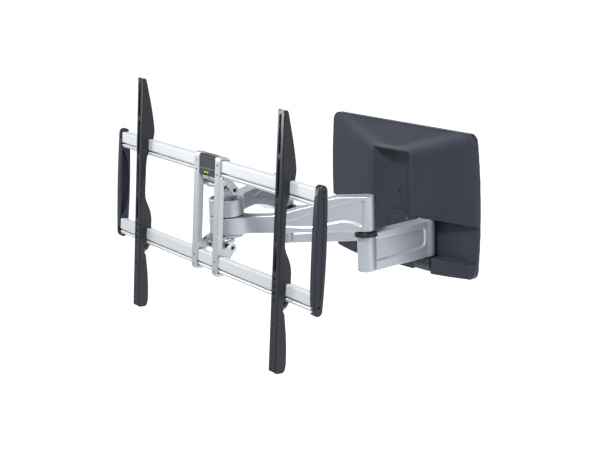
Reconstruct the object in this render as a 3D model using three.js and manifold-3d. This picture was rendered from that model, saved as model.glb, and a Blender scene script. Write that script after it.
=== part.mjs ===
// Full-motion dual-arm wall mount for a large flat television.
// Millimetres, +Z up. The wall is the plane y = 0 and the television faces -Y.
import * as THREE from 'three';
import { mergeVertices } from 'three/addons/utils/BufferGeometryUtils.js';
import { ConvexGeometry } from 'three/addons/geometries/ConvexGeometry.js';
import Module from 'manifold-3d';

const wasm = await Module();
wasm.setup();

// ---------- driving dimensions ----------
const RAIL_LEN = 824;            // length of both rails
const BRACKET_PITCH = 600;       // centre distance of the two brackets
const PLATE_HALF = 234, PLATE_BOW = 10, PLATE_TOP = 158, RIM_DEPTH = 14.5;
const COVER_FRONT = 42;          // depth of the cover beside the centre pocket
const WALL_PIVOT_X = 102, WALL_PIVOT_Y = -29;
const L_LOWER = 184, L_UPPER = 292;
const ELBOW_R = 18.3, RING_R = 24.2, HUB_R = 36.4;
const HUB_X = -71, HUB_Y = -434.5;
const Z_UP0 = -34, Z_UP1 = 42;   // upper links and hub
const Z_LO0 = -121, Z_LO1 = -40; // lower links
const HUB_SPLIT = 4.2;           // middle of the seam washer in the hub
const FRAME_O = [-75.25, -480.3, 13.4];
const FRAME_YAW = -5.3, FRAME_TILT = 4.5;
const TILT_W = 56, TILT_D = -33; // tilt axis in frame coordinates
const PIN_W = -66;               // lower slot pin, straight below the tilt axis
const RAIL_TOP = 118.3, RAIL_H = 35.4, RAIL_DEPTH = 18;
const STRUT_IN = 33, STRUT_OUT = 55.5;

const rad = (d) => d * Math.PI / 180;

// ---------- solids ----------
const solid = (g) => {
  let p = g.index ? g.toNonIndexed() : g;
  const q = new THREE.BufferGeometry();
  q.setAttribute('position', p.getAttribute('position').clone());
  const m = mergeVertices(q, 1e-4);
  return new wasm.Manifold(new wasm.Mesh({
    numProp: 3,
    vertProperties: new Float32Array(m.getAttribute('position').array),
    triVerts: new Uint32Array(m.index.array),
  }));
};
const geo = (s) => {
  const m = s.getMesh();
  const g = new THREE.BufferGeometry();
  g.setAttribute('position', new THREE.BufferAttribute(new Float32Array(m.vertProperties), 3));
  g.setIndex(new THREE.BufferAttribute(new Uint32Array(m.triVerts), 1));
  return g.toNonIndexed();
};
const shape = (pts, holes = []) => {
  const s = new THREE.Shape(pts.map(([x, y]) => new THREE.Vector2(x, y)));
  s.holes = holes.map((h) => new THREE.Path(h.map(([x, y]) => new THREE.Vector2(x, y))));
  return s;
};
const extrude = (pts, h, holes = []) =>
  new THREE.ExtrudeGeometry(shape(pts, holes), { depth: h, bevelEnabled: false, steps: 1 });
// outline in XY, from z0 to z1
const prismZ = (pts, z0, z1) => { const g = extrude(pts, z1 - z0); g.translate(0, 0, z0); return solid(g); };
// outline given as [x, z], from y0 to y1
const prismY = (pts, y0, y1, holes = []) => {
  const g = extrude(pts, y1 - y0, holes); g.rotateX(Math.PI / 2); g.translate(0, y1, 0); return solid(g);
};
// outline given as [y, z], from x0 to x1
const prismX = (pts, x0, x1, holes = []) => {
  const g = extrude(pts, x1 - x0, holes);
  g.applyMatrix4(new THREE.Matrix4().set(0, 0, 1, x0, 1, 0, 0, 0, 0, 1, 0, 0, 0, 0, 0, 1));
  return solid(g);
};
const box = (x0, x1, y0, y1, z0, z1) => {
  const g = new THREE.BoxGeometry(x1 - x0, y1 - y0, z1 - z0);
  g.translate((x0 + x1) / 2, (y0 + y1) / 2, (z0 + z1) / 2); return solid(g);
};
const circle = (cx, cy, r, n, a0 = 0, a1 = 360) => {
  const full = a1 - a0 >= 360; const out = []; const k = full ? n : n + 1;
  for (let i = 0; i < k; i++) { const a = rad(a0 + (a1 - a0) * i / n); out.push([cx + r * Math.cos(a), cy + r * Math.sin(a)]); }
  return out;
};
const cylZ = (x, y, r, z0, z1, n = 24) => prismZ(circle(x, y, r, n), z0, z1);
const cylX = (y, z, r, x0, x1, n = 16) => prismX(circle(y, z, r, n), x0, x1);
const cylY = (x, z, r, y0, y1, n = 12) => prismY(circle(x, z, r, n), y0, y1);
const hull = (pts) => solid(new ConvexGeometry(pts.map((p) => new THREE.Vector3(...p))));
// rounded slot outline centred at (cx, cy), along the second axis
const slot = (cx, cy, len, w, n = 4) => {
  const r = w / 2, h = len / 2 - r;
  return [...circle(cx, cy + h, r, n, 0, 180), ...circle(cx, cy - h, r, n, 180, 360)];
};

// ---------- materials ----------
const mat = (color, roughness, metalness) => new THREE.MeshStandardMaterial({ color, roughness, metalness });
const MAT = {
  cover: mat(0x464b53, 0.45, 0.0), block: mat(0x383c43, 0.5, 0.0), steel: mat(0x6f747a, 0.45, 0.8),
  cast: mat(0xb4bac4, 0.38, 0.75), black: mat(0x15161a, 0.45, 0.0), rail: mat(0xe6e9ee, 0.3, 0.85),
  strut: mat(0xc6cbd3, 0.36, 0.7), bracket: mat(0x24262b, 0.42, 0.4), cap: mat(0x2d3036, 0.4, 0.0),
  vial: mat(0xa6d63a, 0.15, 0.0), zinc: mat(0x9a9fa6, 0.35, 0.9),
};
const root = new THREE.Group();
root.name = 'full_motion_tv_wall_mount';
const add = (parent, name, s, material) => {
  const m = new THREE.Mesh(geo(s), material); m.name = name; parent.add(m); return m;
};

// ---------- wall plate and cover ----------
const rim = (inset, n = 5) => {
  const hw = PLATE_HALF - inset, top = PLATE_TOP - inset, r = 17 - inset * 0.6;
  const side = (z) => hw + PLATE_BOW * (1 - (z / PLATE_TOP) ** 2);
  const out = [];
  const k = 6;
  for (let i = 0; i <= k; i++) { const z = -(top - r) + 2 * (top - r) * i / k; out.push([side(z), z]); }
  const c1 = circle(side(top - r) - r, top - r, r, n, 0, 90).slice(1);
  out.push(...c1);
  out.push(...c1.slice().reverse().map(([x, z]) => [-x, z]));
  for (let i = k; i >= 0; i--) { const z = -(top - r) + 2 * (top - r) * i / k; out.push([-side(z), z]); }
  out.push(...c1.map(([x, z]) => [-x, -z]));
  out.push(...c1.slice().reverse().map(([x, z]) => [x, -z]));
  return out;
};
const POCKET_W = 60, POCKET_TOP = 100;
const coverMass = (t, y1) => {
  const edge = rim(t);
  const crown = [];
  for (const [x, z] of edge) crown.push([x * 0.995, -(RIM_DEPTH - t), z * 0.995]);
  const cx = POCKET_W + 7 - t, cz = POCKET_TOP + 6 - t;
  for (const sx of [-1, 1]) for (const z of [cz, -110]) crown.push([sx * cx, -(COVER_FRONT - t), z]);
  return prismY(edge, -(RIM_DEPTH - t), y1).add(hull([...crown, ...crown.map(([x, , z]) => [x, -(RIM_DEPTH - t) + 2, z])]));
};
const pocketCut = (t) => {
  const pts = circle(0, -COVER_FRONT - 4, 1, 24).map(([x, y]) => [x * (POCKET_W + t), (y + COVER_FRONT + 4) * (29 + t) - COVER_FRONT - 4]);
  return prismZ(pts, -200, POCKET_TOP + t)
    .add(box(-POCKET_W - t, POCKET_W + t, -80, -22 + t, -200, -88 + t));
};
const RECESS_IN = 78, RECESS_TOP = -38.6, RECESS_BOT = -124;
const recessCut = (t, s) => {
  const a = RECESS_IN - t, b = 262;
  return s > 0 ? box(a, b, -90, -8 + t, RECESS_BOT - t, RECESS_TOP + t) : box(-b, -a, -90, -8 + t, RECESS_BOT - t, RECESS_TOP + t);
};
const BLOCK_IN = 68, BLOCK_OUT = 125.5;
const blockCut = (s, t) => (s > 0 ? box(BLOCK_IN - t, BLOCK_OUT + t, -90, -4.6, -200, RECESS_BOT + 0.2)
  : box(-BLOCK_OUT - t, -BLOCK_IN + t, -90, -4.6, -200, RECESS_BOT + 0.2));
const ledge = (s, t) => hull([
  [s * 120, -(40 - t), RECESS_BOT], [s * 232, -(17 - t), RECESS_BOT], [s * (238 - t), -(8 - t), RECESS_BOT],
  [s * 120, -(33 - t), -PLATE_TOP + 2 + t], [s * 216, -(15 - t), -PLATE_TOP + t], [s * (226 - t), -(8 - t), -PLATE_TOP + 4 + t],
  [s * 120, -2, RECESS_BOT], [s * (238 - t), -2, RECESS_BOT], [s * 120, -2, -PLATE_TOP + t], [s * (222 - t), -2, -PLATE_TOP + 2 + t],
]);
const lowerFace = (t) => {
  // below the pocket corners the cover drops back to the rim depth
  return box(-260, 260, -80, -(RIM_DEPTH + 0.5 - t), -200, RECESS_BOT);
};
const outer = coverMass(0, 0).subtract(lowerFace(0)).add(ledge(1, 0)).add(ledge(-1, 0));
const innerRaw = coverMass(3, 1).subtract(lowerFace(3)).subtract(box(-260, 260, -90, -11.5, -200, RECESS_BOT + 3));
const inner = innerRaw.subtract(pocketCut(3)).subtract(recessCut(3, 1)).subtract(recessCut(3, -1));
let cover = outer.subtract(pocketCut(0)).subtract(recessCut(0, 1)).subtract(recessCut(0, -1));
// arched boss at the foot of the pocket
const arch = circle(0, -90, 1, 16, 0, 180).map(([x, z]) => [x * 50, -90 + (z + 90) * 52]);
cover = cover.add(prismY(arch, -25, -14)).subtract(inner)
  .subtract(blockCut(1, 0.3)).subtract(blockCut(-1, 0.3));
for (const s of [1, -1]) cover = cover.subtract(cylZ(s * WALL_PIVOT_X, WALL_PIVOT_Y, 6.6, -60, -28.2, 16));
cover = cover.subtract(cylY(0, 3, 4.2, -30, -10, 12));
const wall = new THREE.Group(); wall.name = 'wall_body'; root.add(wall);
add(wall, 'wall_cover', cover, MAT.cover);
add(wall, 'cover_screw', cylY(0, 3, 3.6, -16.6, -12.6, 12), MAT.zinc);

let plate = prismY([[-222, -118], [-130, -118], [-130, -146], [130, -146], [130, -118], [222, -118], [222, 138], [-222, 138]], -4.2, 0);
const LAGS = [[-203.2, 112], [203.2, 112], [-203.2, -15], [203.2, -15]];
for (const [x, z] of LAGS) plate = plate.subtract(prismY(slot(x, z, 14, 9).map(([a, b]) => [a, b]), -6, 1));
for (const s of [1, -1]) {
  for (const [z0, z1] of [[-140, -135], [-34.8, -29.8]]) {
    const pts = z0 < -100 ? [[-15, -3], [-15, WALL_PIVOT_Y], ...circle(0, WALL_PIVOT_Y, 11, 8, 180, 360), [15, WALL_PIVOT_Y], [15, -3]]
      : [[-10, -3], [-6.2, WALL_PIVOT_Y], ...circle(0, WALL_PIVOT_Y, 6.2, 8, 180, 360).slice(1), [10, -3]];
    plate = plate.add(prismZ(pts.map(([x, y]) => [x + s * WALL_PIVOT_X, y]), z0, z1));
  }
  plate = plate.subtract(cylZ(s * WALL_PIVOT_X, WALL_PIVOT_Y, 5.2, -150, -20, 16));
}
add(wall, 'wall_plate_steel', plate, MAT.steel);
LAGS.forEach(([x, z], i) => {
  add(wall, `lag_bolt_${i + 1}`, prismY(circle(x, z, 7, 6), -10, -4.5).add(cylY(x, z, 4, -4.6, 0, 10)), MAT.zinc);
});
for (const [s, side] of [[1, 'right'], [-1, 'left']]) {
  const X = (x) => s * x;
  // chamfered block that covers the lower ear of the wall pivot
  const pts = [[68.4, -8], [68.4, -38], [74, -44], [125, -41], [125, -8]].map(([x, y]) => [X(x), y]);
  const low = [[76, -8], [76, -34], [82, -38], [125, -36], [125, -8]].map(([x, y]) => [X(x), y]);
  let block = hull([...pts.map(([x, y]) => [x, y, RECESS_BOT]), ...pts.map(([x, y]) => [x, y, -140]), ...low.map(([x, y]) => [x, y, -154])]);
  block = block.subtract(prismZ([[-16, 0], [-16, WALL_PIVOT_Y - 12], [16, WALL_PIVOT_Y - 12], [16, 0]].map(([x, y]) => [x + s * WALL_PIVOT_X, y]), -140.5, -134.5))
    .subtract(cylZ(s * WALL_PIVOT_X, WALL_PIVOT_Y, 5.5, -146, -120, 16));
  add(wall, `pivot_block_${side}`, block, MAT.block);
  add(wall, `wall_pivot_pin_${side}`, cylZ(s * WALL_PIVOT_X, WALL_PIVOT_Y, 4.9, -144, -29, 16), MAT.steel);
  add(wall, `wall_washer_${side}`,
    cylZ(s * WALL_PIVOT_X, WALL_PIVOT_Y, 14, RECESS_BOT + 0.3, Z_LO0 - 0.3, 24).subtract(cylZ(s * WALL_PIVOT_X, WALL_PIVOT_Y, 5.2, -130, -110, 16)), MAT.black);
}

// ---------- arms ----------
const elbowOf = (s) => {
  const wx = s * WALL_PIVOT_X, wy = WALL_PIVOT_Y;
  const dx = HUB_X - wx, dy = HUB_Y - wy, D = Math.hypot(dx, dy);
  const a = (L_LOWER ** 2 - L_UPPER ** 2 + D * D) / (2 * D), h = Math.sqrt(L_LOWER ** 2 - a * a);
  const ex = dx / D, ey = dy / D;
  const c = [[wx + a * ex - h * ey, wy + a * ey + h * ex], [wx + a * ex + h * ey, wy + a * ey - h * ex]];
  return c.sort((p, q) => s * (q[0] - p[0]))[0];
};
const lowerLink = () => {
  const r = ELBOW_R, t = 16.4;
  let b = cylZ(0, 0, r, Z_LO0, Z_LO1, 28).add(cylZ(L_LOWER, 0, r, Z_LO0, Z_LO1, 28))
    .add(box(0, L_LOWER, -t, t, Z_LO0, Z_LO1));
  for (const s of [1, -1]) {
    // recessed side panel with slanted ends, and a groove beside the elbow barrel
    const panel = [[26, -108], [34, -112], [L_LOWER - 40, -112], [L_LOWER - 30, -106], [L_LOWER - 30, -56], [44, -56], [26, -62]];
    b = b.subtract(s > 0 ? prismY(panel, t - 2, t + 6) : prismY(panel, -t - 6, -t + 2));
  }
  b = b.subtract(cylZ(L_LOWER, 0, RING_R + 0.6, -48.3, -30, 28));
  b = b.subtract(cylZ(0, 0, 5.4, -130, -30, 16)).subtract(cylZ(L_LOWER, 0, 6.4, -114.5, -40, 16));
  return b;
};
const upperLink = (isRight) => {
  const r = ELBOW_R, t = 16.2;
  const plan = [...circle(0, 0, r, 14, 90, 270)];
  const hubAng = 62;
  const neck = [[L_UPPER - 78, -t - 0.4], [L_UPPER - 52, -t - 2.5], [L_UPPER - 36, -t - 8]];
  plan.push(...neck);
  plan.push(...circle(L_UPPER, 0, HUB_R, 30, -180 + 44, 180 - 44));
  plan.push(...neck.slice().reverse().map(([x, y]) => [x, -y]));
  const top = isRight
    ? [[-25, 42], [48, 42], [66, 40], [82, 35], [98, 28], [116, 22.5], [140, 18], [160, 12], [180, 6.5], [200, 3.2], [345, 3.2]]
    : [[-25, 42], [345, 42]];
  const bot = isRight
    ? [[-25, -34], [345, -34]]
    : [[-25, -34], [48, -34], [66, -32], [82, -27], [98, -19], [120, -11], [145, -4], [170, 2], [190, 5], [205, 5.2], [345, 5.2]];
  let b = prismZ(plan, Z_UP0, Z_UP1).intersect(prismY([...bot, ...top.slice().reverse()], -60, 60));
  for (const s of [1, -1]) {
    const panel = isRight
      ? [[24, -20], [40, -22], [150, -22], [172, -14], [150, -4], [110, 8], [80, 20], [40, 29], [24, 27]]
      : [[24, -20], [40, -20], [66, -16], [92, -4], [130, 9], [170, 18], [190, 25], [170, 31], [40, 31], [24, 29]];
    b = b.subtract(s > 0 ? prismY(panel, t - 2, t + 8) : prismY(panel, -t - 8, -t + 2));
  }
  b = b.subtract(cylZ(0, 0, 6.4, -40, 37, 16));
  if (isRight) b = b.subtract(cylZ(L_UPPER, 0, 8.4, -40, 50, 20)).subtract(cylZ(L_UPPER, 0, 29.8, -40, -31, 32));
  else b = b.subtract(cylZ(L_UPPER, 0, 19.6, 0, 50, 24)).subtract(cylZ(L_UPPER, 0, 32, 36, 50, 30));
  return b;
};
const elbows = {};
for (const [s, side] of [[1, 'right'], [-1, 'left']]) {
  const [ex, ey] = elbowOf(s);
  elbows[side] = [ex, ey];
  const lo = new THREE.Group(); lo.name = `${side}_lower_body`;
  lo.position.set(s * WALL_PIVOT_X, WALL_PIVOT_Y, 0);
  lo.rotation.z = Math.atan2(ey - WALL_PIVOT_Y, ex - s * WALL_PIVOT_X);
  root.add(lo);
  add(lo, `${side}_lower_link`, lowerLink(), MAT.cast);
  add(lo, `${side}_elbow_ring`, cylZ(L_LOWER, 0, RING_R, -48, -36.6, 28).add(cylZ(L_LOWER, 0, 16.8, -37, -34.3, 24))
    .subtract(cylZ(L_LOWER, 0, 6.3, -60, -20, 16)), MAT.black);
  add(lo, `${side}_elbow_pin`, cylZ(L_LOWER, 0, 6, -114, 36, 16), MAT.steel);
  const up = new THREE.Group(); up.name = `${side}_upper_body`;
  up.position.set(ex, ey, 0);
  up.rotation.z = Math.atan2(HUB_Y - ey, HUB_X - ex);
  root.add(up);
  add(up, `${side}_upper_link`, upperLink(s > 0), MAT.cast);
  if (s > 0) add(up, 'hub_seam_washer', cylZ(L_UPPER, 0, HUB_R - 1.6, 3.5, 4.9, 32).subtract(cylZ(L_UPPER, 0, 8.4, 0, 10, 20)), MAT.black);
}

// ---------- hub spindle and tilt head ----------
const hub = new THREE.Group(); hub.name = 'hub_frame';
hub.position.set(HUB_X, HUB_Y, 0); hub.rotation.z = rad(FRAME_YAW);
root.add(hub);
add(hub, 'hub_spindle', cylZ(0, 0, 8, -33.4, 36, 24).add(cylZ(0, 0, 21, 36.3, 38, 28)).add(cylZ(0, 0, 29.2, -33.4, -31.4, 32)).add(cylZ(0, 0, 8, 35, 37, 24))
  .subtract(cylZ(0, 0, 5.5, -60, 60, 16)), MAT.steel);
const ct = Math.cos(rad(FRAME_TILT)), st = Math.sin(rad(FRAME_TILT));
// tilt axis and lower pin in hub coordinates (y toward the wall), worked out from the frame pose
const offF = 46.0;
const toHub = (w, d) => [-(offF - w * st + d * ct), FRAME_O[2] + w * ct + d * st];
const [TY, TZ] = toHub(TILT_W, TILT_D);
const neckSide = [[-19, 39], [17, 39], [16, 44], [TY + 8, TZ - 6], [TY + 7.4, TZ], [TY, TZ + 5], [TY - 7.4, TZ], [TY - 8, TZ - 6], [-19, 46]];
let neck = prismX(neckSide, -15, 15).intersect(cylZ(0, 0, 22, 30, 90, 28)).add(cylX(TY, TZ, 7.6, -47.5, 47.5, 20))
  .add(cylZ(0, 0, 20, 38.4, 42, 28)).subtract(cylX(TY, TZ, 4.3, -60, 60, 14)).subtract(cylZ(0, 0, 5.1, 30, 46, 16));
add(hub, 'head_neck', neck, MAT.strut);
add(hub, 'head_core', cylZ(0, 0, 4.9, -47, 45.6, 16), MAT.steel);
const TIE_Y = -31.6, TIE_Z = -58, TIE_R = 6;
const PIN_R = TILT_W - PIN_W;
const [PY, PZ] = toHub(PIN_W, TILT_D);
const angPin = Math.atan2(PZ - TZ, PY - TY) * 180 / Math.PI;       // from the tilt axis to the pin
const slotPts = [];
const A0 = angPin - 2.2, A1 = angPin + 17;
for (let i = 0; i <= 8; i++) { const a = rad(A0 + (A1 - A0) * i / 8); slotPts.push([TY + (PIN_R + 4.3) * Math.cos(a), TZ + (PIN_R + 4.3) * Math.sin(a)]); }
for (let i = 8; i >= 0; i--) { const a = rad(A0 + (A1 - A0) * i / 8); slotPts.push([TY + (PIN_R - 4.3) * Math.cos(a), TZ + (PIN_R - 4.3) * Math.sin(a)]); }
const cheekPts = [[-32, -36], [-4, -35], [2.6, -39], [3.6, -44], [1.6, -49.5], [-3, -52.4], [-12, -61.6], [-22, -66.5], [-31, -65.5], [-37, -60], [-37, -46]];
let yoke = cylZ(0, 0, 33.5, -41, -34.6, 32);
for (const s of [1, -1]) yoke = yoke.add(prismX(cheekPts, Math.min(s * 24, s * 30), Math.max(s * 24, s * 30)));
for (const s of [1, -1]) yoke = yoke.subtract(prismX(slotPts, Math.min(s * 20, s * 40), Math.max(s * 20, s * 40)));
for (const s of [1, -1]) yoke = yoke.subtract(prismX([[-21, -46.2], [-23, -44], [-21, -41.2], [-5.5, -38.4], [-2.6, -41], [-4.6, -44.4]], Math.min(s * 20, s * 40), Math.max(s * 20, s * 40)));
yoke = yoke.subtract(cylZ(0, 0, 5.1, -60, -20, 16)).add(cylX(TIE_Y, TIE_Z, TIE_R, -24.5, 24.5, 18));
add(hub, 'head_yoke', yoke, MAT.strut);
add(hub, 'head_nut', prismZ(circle(0, 0, 10, 6), -48.4, -41.3).subtract(cylZ(0, 0, 5.1, -47.2, -30, 16)), MAT.zinc);

// ---------- television frame, in its own coordinates: X along the rails, Y toward the wall, Z up ----------
const yawGroup = new THREE.Group(); yawGroup.name = 'frame_yaw';
yawGroup.position.set(...FRAME_O); yawGroup.rotation.z = rad(FRAME_YAW);
root.add(yawGroup);
const frame = new THREE.Group(); frame.name = 'tv_frame_body'; frame.rotation.x = -rad(FRAME_TILT);
yawGroup.add(frame);
const railProfile = (top) => {
  const z = (v) => top - v;
  const b = RAIL_H;
  return [[2.6, z(0)], [0.6, z(1.2)], [0, z(4)], [0, z(23.6)], [0.6, z(24.8)], [2.6, z(25.4)], [2.6, z(27.2)], [0.8, z(28)], [0, z(31)], [0.8, z(34)], [2.8, z(b)],
    [15.5, z(b)], [RAIL_DEPTH, z(b - 2)], [RAIL_DEPTH, z(b - 8)], [15.6, z(b - 8)], [15.6, z(b - 2.6)], [5.2, z(b - 2.6)], [5.2, z(2.6)], [15.6, z(2.6)], [15.6, z(8)],
    [RAIL_DEPTH, z(8)], [RAIL_DEPTH, z(2)], [15.5, z(0)]];
};
const BOT_TOP = -82.9;
add(frame, 'top_rail', prismX(railProfile(RAIL_TOP), -RAIL_LEN / 2, RAIL_LEN / 2), MAT.rail);
add(frame, 'bottom_rail', prismX(railProfile(BOT_TOP), -RAIL_LEN / 2, RAIL_LEN / 2), MAT.rail);
const lens = (inset) => {
  const H = 126 - inset, f = (z) => 1 - (z / 126) ** 2;
  const back = (z) => 18.2 + 4.3 * f(z) - inset, front = (z) => -0.7 - 2.3 * f(z) + inset;
  const R = 11, n = 10, out = [];
  for (let i = 0; i <= n; i++) { const z = -(H - R) + 2 * (H - R) * i / n; out.push([back(z), z]); }
  const mid = (back(H - R) + front(H - R)) / 2, half = (back(H - R) - front(H - R)) / 2;
  for (let i = 1; i < 8; i++) { const a = Math.PI * i / 8; out.push([mid + half * Math.cos(a), H - R + R * Math.sin(a)]); }
  for (let i = n; i >= 0; i--) { const z = -(H - R) + 2 * (H - R) * i / n; out.push([front(z), z]); }
  for (let i = 1; i < 8; i++) { const a = Math.PI * i / 8; out.push([mid - half * Math.cos(a), -(H - R) - R * Math.sin(a)]); }
  return out;
};
for (const [s, side] of [[1, 'right'], [-1, 'left']]) {
  const xa = RAIL_LEN / 2 + 0.3, xb = xa + 17;
  const r = (a, b) => (s > 0 ? [a, b] : [-b, -a]);
  let cap = prismX(lens(0), ...r(xa, xb)).subtract(prismX(lens(3), ...r(xa - 1, xb - 3.5)));
  cap = cap.subtract(prismX(slot(10, 0, 190, 5.5), ...r(xb - 1.6, xb + 2)));
  for (const z of [-60, 60]) cap = cap.add(box(...r(xa, xb - 1.7), 3, 17, z - 2, z + 2));
  cap = cap.subtract(cylX(9.5, -108, 3, ...r(xb - 6, xb + 2), 10));
  add(frame, `end_cap_${side}`, cap, MAT.cap);
  for (const [k, z] of [[1, 112], [2, 100]]) add(frame, `cap_screw_${side}_${k}`, cylX(9.5, z, 2.6, ...r(xb + 0.1, xb + 1.5), 10), MAT.zinc);
}
// struts: front strap, hooks over both rails, deep middle and two ears
const earHole = 3.9;
for (const [s, side] of [[1, 'right'], [-1, 'left']]) {
  const r = (a, b) => (s > 0 ? [a, b] : [-b, -a]);
  const strap = [[-4.5, -117], [-3.4, -123], [0, -126.5], [17, -126.5], [20.8, -123.5], [20.8, -112], [18.4, -112], [18.4, -118.7], [-0.3, -118.7], [-0.3, -82.4], [9, -76],
    [9, 76], [-0.3, 82.4], [-0.3, 118.7], [18.4, 118.7], [18.4, 112], [20.8, 112], [20.8, 123.5], [17, 126.5], [0, 126.5], [-3.4, 123], [-4.5, 117]];
  const plan = prismX(strap, ...r(STRUT_IN, STRUT_OUT));
  const upper = [[5, 79], [12, 81.5], [20, 77.5], [30, 73.8], ...circle(-TILT_D, TILT_W, 9.6, 8, 60, -125), [20, 60], [12.8, 67], [5, 67]];
  const lower = [[5, -82.3], [18.7, -82.3], [18.7, -94], [26, -90], ...circle(-TILT_D, PIN_W, 9.2, 8, -50, 120), [18, -66], [5, -70]];
  let strut = plan.add(prismX(upper, ...r(STRUT_OUT - 6, STRUT_OUT))).add(prismX(lower, ...r(STRUT_OUT - 6, STRUT_OUT)));
  strut = strut.subtract(cylX(-TILT_D, TILT_W, earHole, ...r(40, 60), 14)).subtract(cylX(-TILT_D, PIN_W, earHole, ...r(40, 60), 14))
    .subtract(cylX(15, 60, 6.1, ...r(STRUT_IN - 2, STRUT_IN + 12), 16));
  for (const z of [107.1, 86.9, -95.3, -115.6]) strut = strut.subtract(cylY((STRUT_IN + STRUT_OUT) / 2 * s, z, 2.4, -6, -2.6, 10));
  add(frame, `strut_${side}`, strut, MAT.strut);
  [107.1, 86.9, -95.3, -115.6].forEach((z, i) => add(frame, `strut_screw_${side}_${i + 1}`, cylY((STRUT_IN + STRUT_OUT) / 2 * s, z, 2.1, -4.0, -2.8, 8), MAT.zinc));
}
add(frame, 'cross_tube', cylX(15, 60, 5.8, -STRUT_IN - 11.5, STRUT_IN + 11.5, 20).subtract(cylX(15, 60, 4, -60, 60, 14)), MAT.strut);
add(frame, 'tilt_pin', cylX(-TILT_D, TILT_W, 3.6, -53.5, 53.5, 14), MAT.steel);
add(frame, 'lower_tilt_pin', cylX(-TILT_D, PIN_W, 3.6, -53.5, 53.5, 14).add(cylX(-TILT_D, PIN_W, 5.6, -22.5, 22.5, 14)).add(cylX(-TILT_D, PIN_W, 5.6, -48.8, -32, 14)).add(cylX(-TILT_D, PIN_W, 5.6, 32, 48.8, 14)), MAT.zinc);
const blockSide = [[-4.2, 80], [-0.3, 80], [-0.3, 118.7], [18.2, 118.7], [18.2, 112], [20.6, 112], [20.6, 121], [18, 123.4], [-1, 123.4], [-4.2, 121]];
add(frame, 'centre_block', prismX(blockSide, -STRUT_IN + 0.4, STRUT_IN - 0.4).subtract(box(-9, 5, -6, -2.6, 83, 91)), MAT.cap);
add(frame, 'level_vial', box(-8.6, 4.6, -4.6, -2.9, 83.4, 90.6), MAT.vial);

// brackets that bolt to the television
const BR_TOP = 254.5, BR_BOT = -261.4, BR_D = 18.5, BR_W = 25.8;
const flange = () => [
  [-BR_D, BR_BOT + 3], [-BR_D + 3, BR_BOT], [-1, BR_BOT], [4, BR_BOT + 4], [6.5, BR_BOT + 16], [6.2, -215], [4, -184], [-1.2, -143], [-4.5, -137], [-6, -130], [-5.6, -119],
  [-0.4, -119], [-0.4, -82.2], [10.6, -82.2], [10.8, -66], [8.6, -52], [4, -40], [-1.6, -28], [-5.2, -16], [-6.2, 0], [-5.6, 60], [-3.4, 80], [-0.4, 88], [-0.4, 119],
  [11, 119], [13, 132], [11.8, 152], [5, 190], [-3, 225], [-8.9, BR_TOP - 2], [-12, BR_TOP], [-BR_D + 1, BR_TOP], [-BR_D, BR_TOP - 2],
];
const slotsAt = [[207.6, 77], [121.6, 77.8], [35.8, 78.5], [-35.2, 49.6]];
const holesBig = [-73.2, -88.4, -102.5, -116.8, -132.1, -162.5];
const holesSmall = [-178.7, -194.3, -209.6, -225.2, -239.8, -252.6];
for (const [s, side] of [[1, 'right'], [-1, 'left']]) {
  const cx = s * BRACKET_PITCH / 2 + 11.5 * 1;
  const x0 = cx - BR_W / 2, x1 = cx + BR_W / 2;
  const g = new THREE.Group(); g.name = `bracket_${side}_body`; frame.add(g);
  const sx = cx - 2.2;
  const holes = [...slotsAt.map(([z, l]) => slot(sx, z, l, 8, 3)), ...holesBig.map((z) => circle(sx, z, 3, 8)), ...holesSmall.map((z) => circle(sx, z, 2.2, 6))];
  let face = prismY([[x0, BR_BOT], [x1, BR_BOT], [x1, BR_TOP], [x0, BR_TOP]], -BR_D, -BR_D + 2, holes);
  let b = face.add(prismX(flange(), x1 - 2, x1)).add(prismX(flange(), x0, x0 + 2));
  b = b.subtract(cylX(3, -131, 2.2, x0 - 1, x1 + 1, 10).translate([0, -6 - 3 + 3, 0]));
  add(g, `bracket_${side}`, b, MAT.bracket);
  const lg = new THREE.Group(); lg.name = `latch_${side}_body`; g.add(lg);
  const LY = -3 - 0, LZ = -131;
  const lever = [[LY - 3.6, LZ - 3], [LY + 1, LZ - 5], [LY + 5, LZ - 2], [9.5, -122.2], [8.6, -119.4], [4, -119.2], [LY - 1, LZ + 5], [LY - 3.6, LZ + 3]];
  add(lg, `latch_${side}`, prismX(lever, x0 + 2.6, x1 - 2.6).subtract(cylX(LY, LZ, 2.3, x0, x1, 10)), MAT.black);
  add(g, `latch_pin_${side}`, cylX(LY, LZ, 1.9, x0 + 0.1, x1 - 0.1, 10), MAT.zinc);
}

export default root;
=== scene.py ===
"""A full-motion television wall mount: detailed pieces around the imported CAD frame.

Lengths in the shape code are millimetres in the frame of the body that a piece belongs to.
mesh_piece() turns them into metres in the row frame.
"""
import math

import bpy
import numpy as np
from mathutils import Matrix, Vector


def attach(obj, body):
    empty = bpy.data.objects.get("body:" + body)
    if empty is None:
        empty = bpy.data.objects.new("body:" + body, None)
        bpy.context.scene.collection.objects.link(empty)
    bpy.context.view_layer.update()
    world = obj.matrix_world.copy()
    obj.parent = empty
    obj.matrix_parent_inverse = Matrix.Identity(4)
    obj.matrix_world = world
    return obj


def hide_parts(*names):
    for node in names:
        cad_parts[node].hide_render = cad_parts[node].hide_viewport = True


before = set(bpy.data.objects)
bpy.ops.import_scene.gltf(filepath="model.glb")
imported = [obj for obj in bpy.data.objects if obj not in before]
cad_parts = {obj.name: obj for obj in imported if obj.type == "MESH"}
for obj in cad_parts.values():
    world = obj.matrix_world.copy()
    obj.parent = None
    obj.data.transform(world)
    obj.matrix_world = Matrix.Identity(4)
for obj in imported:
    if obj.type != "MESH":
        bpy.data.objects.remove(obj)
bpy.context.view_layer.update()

COARSE = 1.0

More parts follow.
